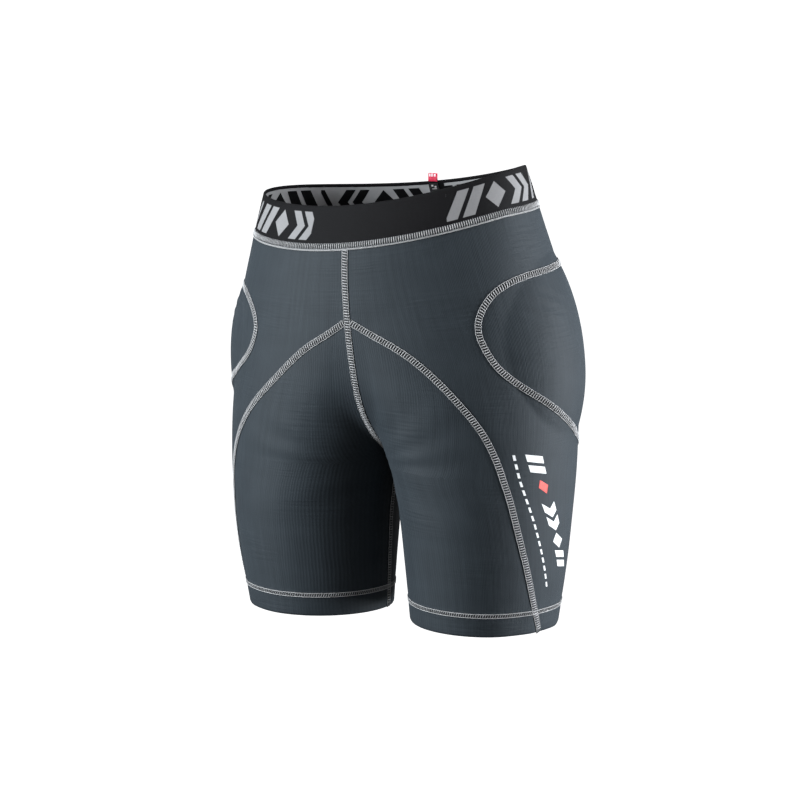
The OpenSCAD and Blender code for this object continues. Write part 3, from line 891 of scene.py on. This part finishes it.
def front_panel_grid():
    rows = 32
    branch = along(np.array(FRONT_THIGH) + [slit, 0], 112)
    hem_end = np.array([BACK[-1][0] - slit, garment_drop])
    corner = np.array([-1 + slit, band_h + band_gap])
    edge = np.concatenate([np.linspace([BACK[0][0] - slit, band_h + band_gap], corner, 89),
                           np.linspace(corner, [-1 + slit, FRONT_THIGH[0][1]], 25)[1:], branch[1:],
                           np.linspace(branch[-1], hem_end, 33)[1:]])
    n = len(edge) - 1
    pad_edge = along(HIP, n)
    pad_edge = pad_edge + (pad_edge - hip_mid) * hip_gap
    share = np.concatenate([straight(0, 0.985, rows - 2), [0.994, 1]])[::-1]
    grid = pad_edge[None] + (edge - pad_edge)[None] * share[:, None, None]
    for j in (0, n):
        grid[:, j, 0] = seam_at(BACK, grid[:, j, 1]) - slit
    return grid


def thigh_panel_grid():
    drops = np.concatenate([to_crotch(FRONT_THIGH[0][1] + 3, 28, 24), hem_drops(crotch_drop, 52)])
    return rows_of(drops, lambda d: seam_at(FRONT_THIGH, d) - slit, lambda d: -1 + slit, 40)


def back_panel_grid():
    tip = TAIL[-1][1]
    drops = np.concatenate([straight(band_h + band_gap, tip - 18, 40), straight(tip - 15, tip + 15, 14),
                            to_crotch(tip + 18, 6, 24), hem_drops(crotch_drop, 52)])

    def inner_end(d):
        return 1 - slit - (max(0, seam_at(TAIL, d)) if d < tip else 0)

    return rows_of(drops, lambda d: seam_at(BACK, d) + slit, inner_end, 40)


def sew_cloth(finish, near):
    for name, side in SIDES.items():
        for kind, grid in (("front_panel", front_panel_grid()), ("thigh_panel", thigh_panel_grid()),
                           ("back_panel", back_panel_grid())):
            faces = grid_faces(*grid.shape[:2])
            cloth_panel(f"{kind}_{name}", side, grid.reshape(-1, 2), faces, finish, near)
        loop = hip_mid + (hip_loop(150, 44) - hip_mid) * (1 - hip_gap)
        shares = straight(1, 0.04, 40)
        cloth_panel("hip_panel_" + name, side, rings(loop, hip_mid, shares),
                    ring_faces(len(loop), len(shares)), finish, near)
    loop = tail_mid + (tail_loop(60, 40) - tail_mid) * (1 - tail_gap)
    shares = straight(1, 0.05, 20)
    sides, places = from_back(rings(loop, tail_mid, shares))
    cloth_panel("tailbone_panel", sides, places, ring_faces(len(loop), len(shares)), finish, near)


# ---- waistband ----

def band_places():
    """The elastic's cross-section as (drop, depth) pairs: down its face, round its edge and up behind."""
    face = [(d, 0.0) for d in straight(1, band_h - 1, 12)]
    low = [(band_h - 0.35, 0.3), (band_h, band_t / 2), (band_h - 0.35, band_t - 0.3)]
    behind = [(d, band_t) for d in straight(band_h - 1, 1, 12)]
    top = [(0.35, band_t - 0.3), (0.0, band_t / 2), (0.35, 0.3)]
    return face + low + behind + top


def make_waistband(finish, lengths):
    around = len(lengths)
    section = band_places()
    points, coords, inner = [], [], []
    for drop, depth in section:
        p, out = round_waist(drop, around // 2)
        gather = 0.22 * np.sin(lengths / 4.6) * ease(band_h - 12, band_h, drop)
        points.append(p - out * (depth - gather[:, None]))
        coords.append(np.column_stack([lengths, np.full(around, drop)]))
        inner.append(np.full(around, depth / band_t))
    band = new_piece("waistband_elastic", np.concatenate(points),
                     grid_faces(len(section), around, True, True), finish, "shorts",
                     np.concatenate(coords), {"inner": np.concatenate(inner)}, crease=75, wrap=2 * band_half)
    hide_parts("waistband")


# ---- pads and pockets ----

def pad_depth(middle_t, share):
    return pad_rim_t + (middle_t - pad_rim_t) * (1 - share**4)


def pocket_depth(middle_t, pad_share, share):
    rim = cloth_t + pocket_gap
    full = cloth_t + 2 * pad_gap + pad_depth(middle_t, np.minimum(1, share / pad_share))
    return rim + (full - rim) * ease(1, pad_share + 0.03, share)


def hip_pad_loop(n, m):
    """The pad's edge, cut off towards the back so that the pad passes through the waist."""
    reach = hip_loop(n, m) - hip_mid
    room = hip_pad_back - hip_mid[0]
    share = np.where(reach[:, 0] * hip_pad_share > room, room / np.maximum(reach[:, 0], 1e-6), hip_pad_share)
    return hip_mid + reach * share[:, None]


def honeycomb(x, y, cell):
    """For each point, its distance in millimetres from its cell's edge and from its cell's middle."""
    pitch = np.array([cell, cell * math.sqrt(3)])
    p = np.stack([x, y], -1)
    a = np.mod(p, pitch) - pitch / 2
    b = np.mod(p - pitch / 2, pitch) - pitch / 2
    near_a = (a**2).sum(-1) < (b**2).sum(-1)
    own = np.abs(np.where(near_a[..., None], a, b))
    to_edge = cell / 2 - np.maximum(own[..., 0], own[..., 0] * 0.5 + own[..., 1] * math.sqrt(0.75))
    return to_edge, np.hypot(own[..., 0], own[..., 1])


# How deep a pad's grooves and air holes are, outside and inside
groove_deep = (2.0, 1.0)
hole_deep = (3.2, 2.2)


def make_pad(node, body, loop, middle, middle_t, from_side, cell, finish):
    """A moulded foam pad: cells with grooves between them, an air hole in each cell and a plain rim."""
    count = 56
    shares = 1 - straight(0, 0.985, count - 1)**1.08
    flat = rings(loop, middle, shares)
    sides, places = from_side(flat)
    points, out = surface(sides, places)
    share = np.concatenate([np.repeat(shares, len(loop)), [0]])
    to_edge, to_mid = honeycomb(flat[:, 0] * round_len, flat[:, 1] - middle[1], cell)
    plain_rim = ease(0.95, 0.88, share)
    groove = ease(2.0, 0.5, to_edge) * plain_rim
    hole = ease(2.9, 1.9, to_mid) * plain_rim
    rounded = np.clip((share - 0.93) / 0.07, 0, 1)
    tuck = pad_rim_t / 2 * 0.9 * (1 - np.sqrt(1 - rounded**2))
    high = -cloth_t - pad_gap - groove_deep[0] * groove - hole_deep[0] * hole - tuck
    low = -cloth_t - pad_gap - pad_depth(middle_t, share) + tuck \
        + groove_deep[1] * groove + hole_deep[1] * hole
    # Where the grooves and air holes are, for the painted shade in the foam's colour
    facts = {"groove": np.maximum(groove, hole)}
    pad = shell(node + "_foam", points, out, high, low, ring_faces(len(loop), len(shares)), finish, body,
                pattern_of(flat), facts, crease=60)
    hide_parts(node)


def make_pocket(node, loop, middle, middle_t, pad_share, from_side, finish):
    shares = straight(1, 0.05, 24)
    flat = rings(middle + (loop - middle) * pocket_share, middle, shares)
    sides, places = from_side(flat)
    points, out = surface(sides, places)
    share = np.concatenate([np.repeat(shares, len(loop)), [0]])
    deep = pocket_depth(middle_t, pad_share / pocket_share, share)
    slack = 0.35 * (np.sin(flat[:, 0] * 37) * np.sin(flat[:, 1] / 9)) * ease(1, 0.85, share)
    faces = ring_faces(len(loop), len(shares))
    piece = shell(node + "_mesh", points, out, slack - deep, slack - deep - mesh_t, faces, finish, "shorts",
                  pattern_of(flat))
    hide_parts(node)
    declare_cloth(flat, area_of(points, faces))


def make_binding(node, sides, places, finish):
    """The elastic along a pocket's mouth, behind the mesh: a flat tape with rounded, raised edges."""
    points, out = surface(sides, places)
    line = Line(points, -out)
    low = cloth_t + pocket_gap + mesh_t + binding_deep
    high = low + binding_t
    half = binding_w / 2
    section = [(half, low + 0.25), (half, high - 0.25), (half - 0.5, high + 0.15), (half - 1.1, high - 0.05),
               (0, high - 0.15), (1.1 - half, high - 0.05), (0.5 - half, high + 0.15), (-half, high - 0.25),
               (-half, low + 0.25), (0.3 - half, low), (half - 0.3, low)]
    points, faces, coords = sweep(line, section, 1.5)
    tape = new_piece(node + "_tape", points, faces, finish, "shorts", coords, crease=70)
    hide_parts(node)


# The width of a moulded cell
hip_cell, tail_cell = 27, 21


def make_pads(finishes):
    hip = hip_loop(150, 40)
    for name, side in SIDES.items():
        def own_side(flat):
            return side, flat

        make_pad("hip_pad_" + name, "hip_pad_" + name, hip_pad_loop(200, 56), hip_mid, hip_pad_t, own_side,
                 hip_cell, finishes["foam"])
        make_pocket("hip_pocket_" + name, hip, hip_mid, hip_pad_t, hip_pad_share, own_side, finishes["mesh"])
        mouth = along(HIP, hip_steps * 3)[3 * mouth_from:3 * mouth_to + 1]
        make_binding(f"hip_pocket_binding_{name}", side, hip_mid + (mouth - hip_mid) * binding_share,
                     finishes["binding"])
    tail = tail_loop(60, 40)
    pad_edge = tail_mid + (tail_loop(90, 60) - tail_mid) * tail_pad_share
    make_pad("tailbone_pad", "tailbone_pad", pad_edge, tail_mid, tail_pad_t, from_back, tail_cell,
             finishes["foam"])
    make_pocket("tailbone_pocket", tail, tail_mid, tail_pad_t, tail_pad_share, from_back, finishes["mesh"])
    v = straight(-6, 6, 36) * tail_mouth_step
    sides, places = from_back(column_of(v, np.full(len(v), band_h + tail_mouth_drop)))
    make_binding("tailbone_pocket_binding", sides, places, finishes["binding"])


# ---- label ----

def make_tag(finishes):
    flat = np.stack(np.meshgrid(straight(-label_half, label_half, 10), straight(*label_low, 16)), -1)
    flat = flat.reshape(-1, 2)
    sides, places = from_back(flat)
    points, out = surface(sides, places)
    n = len(points)
    deep = band_t + 0.3
    base = shell("tag_base_label", points, out, np.full(n, -deep), np.full(n, -deep - label_t),
                 grid_faces(17, 11), finishes["label"], "shorts", pattern_of(flat))
    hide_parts("tag_base")
    low, high = (np.array(c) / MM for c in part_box("tag_loop"))
    mid = (low + high) / 2
    bend = 0.85
    top = high[2] - bend
    turn = np.radians(straight(180, 0, 10))
    # The foot is drawn in where it is sewn, so that it clears the band's edge when the loop folds
    foot = low[2] + 0.25
    outer = [(-0.3 * bend, foot)] + [(-bend, z) for z in straight(foot + 1, top - 0.3, 5)]
    outer += [(bend * math.cos(t), top + bend * math.sin(t)) for t in turn]
    outer += [(bend, z) for z in straight(top - 0.3, foot + 1, 5)] + [(0.3 * bend, foot)]
    inner = [(y * 0.45, low[2] + (z - low[2]) * 0.96) for y, z in outer][::-1]
    section = np.array(outer + inner)
    x = straight(low[0], high[0], 12)
    k = len(section)
    sag = 0.12 * np.sin(x)[:, None]
    points = np.stack([np.repeat(x, k), mid[1] + (section[:, 0][None] + sag).ravel(),
                       np.tile(section[:, 1], len(x))], -1)
    faces = grid_faces(len(x), k, around=True)
    quads = [[a, a + 1, k - 2 - a, k - 1 - a] for a in range(k // 2 - 1)]
    last = (len(x) - 1) * k
    ends = quads + [[last + j for j in q[::-1]] for q in quads]
    v = np.concatenate([straight(0, 20, k // 2 - 1), straight(20, 0, k // 2 - 1)])
    loop = new_piece("tag_loop_ribbon", points, faces + ends, finishes["label_red"], "tag",
                     np.column_stack([np.repeat(x, k), np.tile(v, len(x))]), crease=50)
    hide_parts("tag_loop")


# ---- print ----

def patch(corners, n=8):
    """A grid of places inside four corners, each [w, d], with its faces and pattern coordinates."""
    a, b, c, d = (np.array(p, float) for p in corners)
    x, y = (share[..., None] for share in np.meshgrid(straight(0, 1, n), straight(0, 1, n)))
    places = ((a * (1 - x) + b * x) * (1 - y) + (d * (1 - x) + c * x) * y).reshape(-1, 2)
    return places, grid_faces(n + 1, n + 1), pattern_of(places)


def bar_place(x, y):
    """A place in the print's column: x across a bar from 0 to 1, y in bars down the column."""
    return np.array(print_start) + np.array(print_step) * y + [bar_w * x, 0]


def make_print(node, quads, finish):
    """Thin film on the knit, one closed patch for each outline of four places."""
    places, faces, coords = joined([patch(corners) for corners in quads])
    points, out = surface(LEFT, places)
    lift = relief(LEFT, places)
    piece = shell(node + "_film", points, out, lift + 0.2, lift - 0.1, faces, finish, "shorts", coords)
    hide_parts(node)


def print_blocks():
    """The white outlines: slanted blocks and chevrons in a column, and a row of ticks beside it."""
    def slanted(y):
        return [[(0, y), (1, y + 0.14), (1, y + 0.42), (0, y + 0.28)]]

    def chevron(y):
        return [[(0, y), (0.5, y + 0.26), (0.5, y + 0.62), (0, y + 0.36)],
                [(0.5, y + 0.26), (1, y), (1, y + 0.36), (0.5, y + 0.62)]]

    lozenge = [[(0.5, 3.3), (1, 3.62), (0.5, 3.94), (0, 3.62)]]
    shapes = slanted(0) + slanted(0.42) + chevron(2) + chevron(2.56) + lozenge + slanted(4.0) + slanted(4.42)
    quads = [[bar_place(x, y) for x, y in shape] for shape in shapes]
    run = np.array(tick_end) - tick_start
    for k in range(tick_count):
        a = np.array(tick_start) + run * k / tick_count
        b = a + run * tick_share / tick_count
        quads.append([a, a + [tick_w, 0], b + [tick_w, 0], b])
    return quads


# ---- finishes and assembly ----

band_n = 240
band_points = round_waist(band_h / 2, band_n)[0]
band_steps = np.linalg.norm(np.roll(band_points, -1, axis=0) - band_points, axis=1)
band_lengths = np.concatenate([[0], np.cumsum(band_steps)[:-1]])
band_half = band_steps.sum() / 2
band_lengths = np.where(np.arange(2 * band_n) >= band_n, band_lengths - 2 * band_half, band_lengths)

KNIT_DARK, KNIT_LIGHT = (0.012, 0.0165, 0.021), (0.030, 0.039, 0.047)
# THREAD_DARK is reached down in the thread's twist as painted shade, and where the yarn is uneven
THREAD_DARK, THREAD_LIGHT = (0.24, 0.24, 0.245), (0.62, 0.615, 0.62)

finishes = {
    "knit": knit("ribbed stretch knit", KNIT_DARK, KNIT_LIGHT),
    "thread": thread("silver grey seam thread", THREAD_DARK, THREAD_LIGHT),
    "bed": seam_bed("seam bed", (0.008, 0.010, 0.012), (0.030, 0.032, 0.035)),
    "band": elastic("woven waistband elastic", (0.0016, 0.0015, 0.0018), (0.27, 0.267, 0.272)),
    "binding": elastic("plain binding elastic", (0.004, 0.004, 0.0045), (0.1, 0.1, 0.1), blocks=False),
    "foam": foam("moulded impact foam", (0.020, 0.022, 0.025), (0.055, 0.060, 0.066)),
    # The pocket mesh's darker colour is the painted shade in its holes
    "mesh": open_mesh("pocket mesh", (0.008, 0.009, 0.010), (0.060, 0.066, 0.074)),
    "label": woven_label("black woven label", (0.012, 0.012, 0.013), (0.75, 0.72, 0.72),
                         [(-1.6, 4.2, 1.1, 0.9), (1.7, 5.6, 1.1, 0.9), (0.2, 7.6, 2.6, 0.4),
                          (0, 14, 3.2, 0.3)]),
    "label_red": woven_label("red woven label", (0.78, 0.018, 0.075), (0.95, 0.72, 0.76),
                             [(-3.1, 5.0, 0.9, 1.5), (-0.4, 5.0, 1.2, 1.5), (2.7, 5.0, 1.0, 1.5)]),
    "white": film("white transfer film", (0.86, 0.87, 0.88)),
    "red": film("red transfer film", (0.72, 0.035, 0.02)),
}

lines = seam_lines()
near = Near(lines)
sew_cloth(finishes["knit"], near)
for node, (line, kind) in lines.items():
    sew(node, line, kind, finishes)
make_waistband(finishes["band"], band_lengths)
make_pads(finishes)
make_tag(finishes)
make_print("thigh_print", print_blocks(), finishes["white"])
make_print("thigh_print_accent", [[bar_place(0.45, 1.05), bar_place(0.9, 1.3), bar_place(0.62, 1.62),
                                   bar_place(0.2, 1.35)]], finishes["red"])


# ---- camera, light and floor ----

azimuth, elevation = math.radians(27.5), math.radians(10)
distance = 3.0
# How far the camera aims to the left of the shorts' middle, and below it
aim_left, aim_low = 0.00198, 0.00397
back = Vector((math.sin(azimuth) * math.cos(elevation), -math.cos(azimuth) * math.cos(elevation),
               math.sin(elevation)))
right = Vector((math.cos(azimuth), math.sin(azimuth), 0))
up = back.cross(right)
aim = Vector((hip_shift * MM, -waist_mid * MM, (side_rise / 2 - garment_drop / 2) * MM)) \
    - right * aim_left - up * aim_low


def placed(thing, name, location, facing):
    """An object at a place that looks back along facing."""
    obj = bpy.data.objects.new(name, thing)
    obj.matrix_world = Matrix.Translation(location) @ facing.to_track_quat("Z", "Y").to_matrix().to_4x4()
    bpy.context.scene.collection.objects.link(obj)
    return obj


lens = bpy.data.cameras.new("camera")
lens.lens = 136.1
lens.sensor_width = 36
lens.clip_end = 50
bpy.context.scene.camera = placed(lens, "camera", aim + back * distance, back)


def softbox(name, bearing, height, reach, size, power, colour):
    """A rectangular light at a bearing in degrees from the camera, and at a height, seen from the part."""
    lamp = bpy.data.lights.new(name, "AREA")
    lamp.shape = "RECTANGLE"
    lamp.size, lamp.size_y = size
    lamp.energy = power
    lamp.color = colour
    turn = azimuth + math.radians(bearing)
    way = Vector((math.sin(turn), -math.cos(turn), height)).normalized()
    placed(lamp, name, aim + way * reach, way)


softbox("left softbox", -72, 0.2, 1.9, (0.7, 1.8), 76, (0.90, 0.96, 1.0))
softbox("right softbox", 84, 0.0, 1.9, (0.7, 1.6), 90, (0.92, 0.96, 1.0))
softbox("front fill", 0, 0.9, 2.6, (1.4, 1.4), 2, (1.0, 1.0, 1.0))
softbox("overhead softbox", 0, 5.0, 1.8, (1.2, 1.2), 22, (0.96, 0.98, 1.0))

# The floor goes on as walls and a ceiling a long way off, so that every view has the same plain ground
room_reach, room_floor, room_top = 9, -1.6, 9
room_mesh = bpy.data.meshes.new("floor")
room_mesh.from_pydata([(x * room_reach, y * room_reach, z) for z in (room_floor, room_top)
                       for x, y in ((-1, -1), (1, -1), (1, 1), (-1, 1))], [],
                      [[0, 1, 2, 3], [7, 6, 5, 4], [0, 4, 5, 1], [1, 5, 6, 2], [2, 6, 7, 3], [3, 7, 4, 0]])
floor_colour, floor_glow = (0.9, 0.9, 0.9), 0.99
room_mesh.materials.append(pale_ground("pale floor", floor_colour, floor_glow))
room = bpy.data.objects.new("floor", room_mesh)
room.visible_diffuse = room.visible_glossy = room.visible_shadow = False
bpy.context.scene.collection.objects.link(room)

world = bpy.data.worlds.new("soft studio light")
world.use_nodes = True
soft_light = world.node_tree.nodes["Background"]
soft_light.inputs["Color"].default_value = (1, 1, 1, 1)
soft_light.inputs["Strength"].default_value = 0.15
bpy.context.scene.world = world
bpy.context.scene.view_settings.view_transform = "Standard"
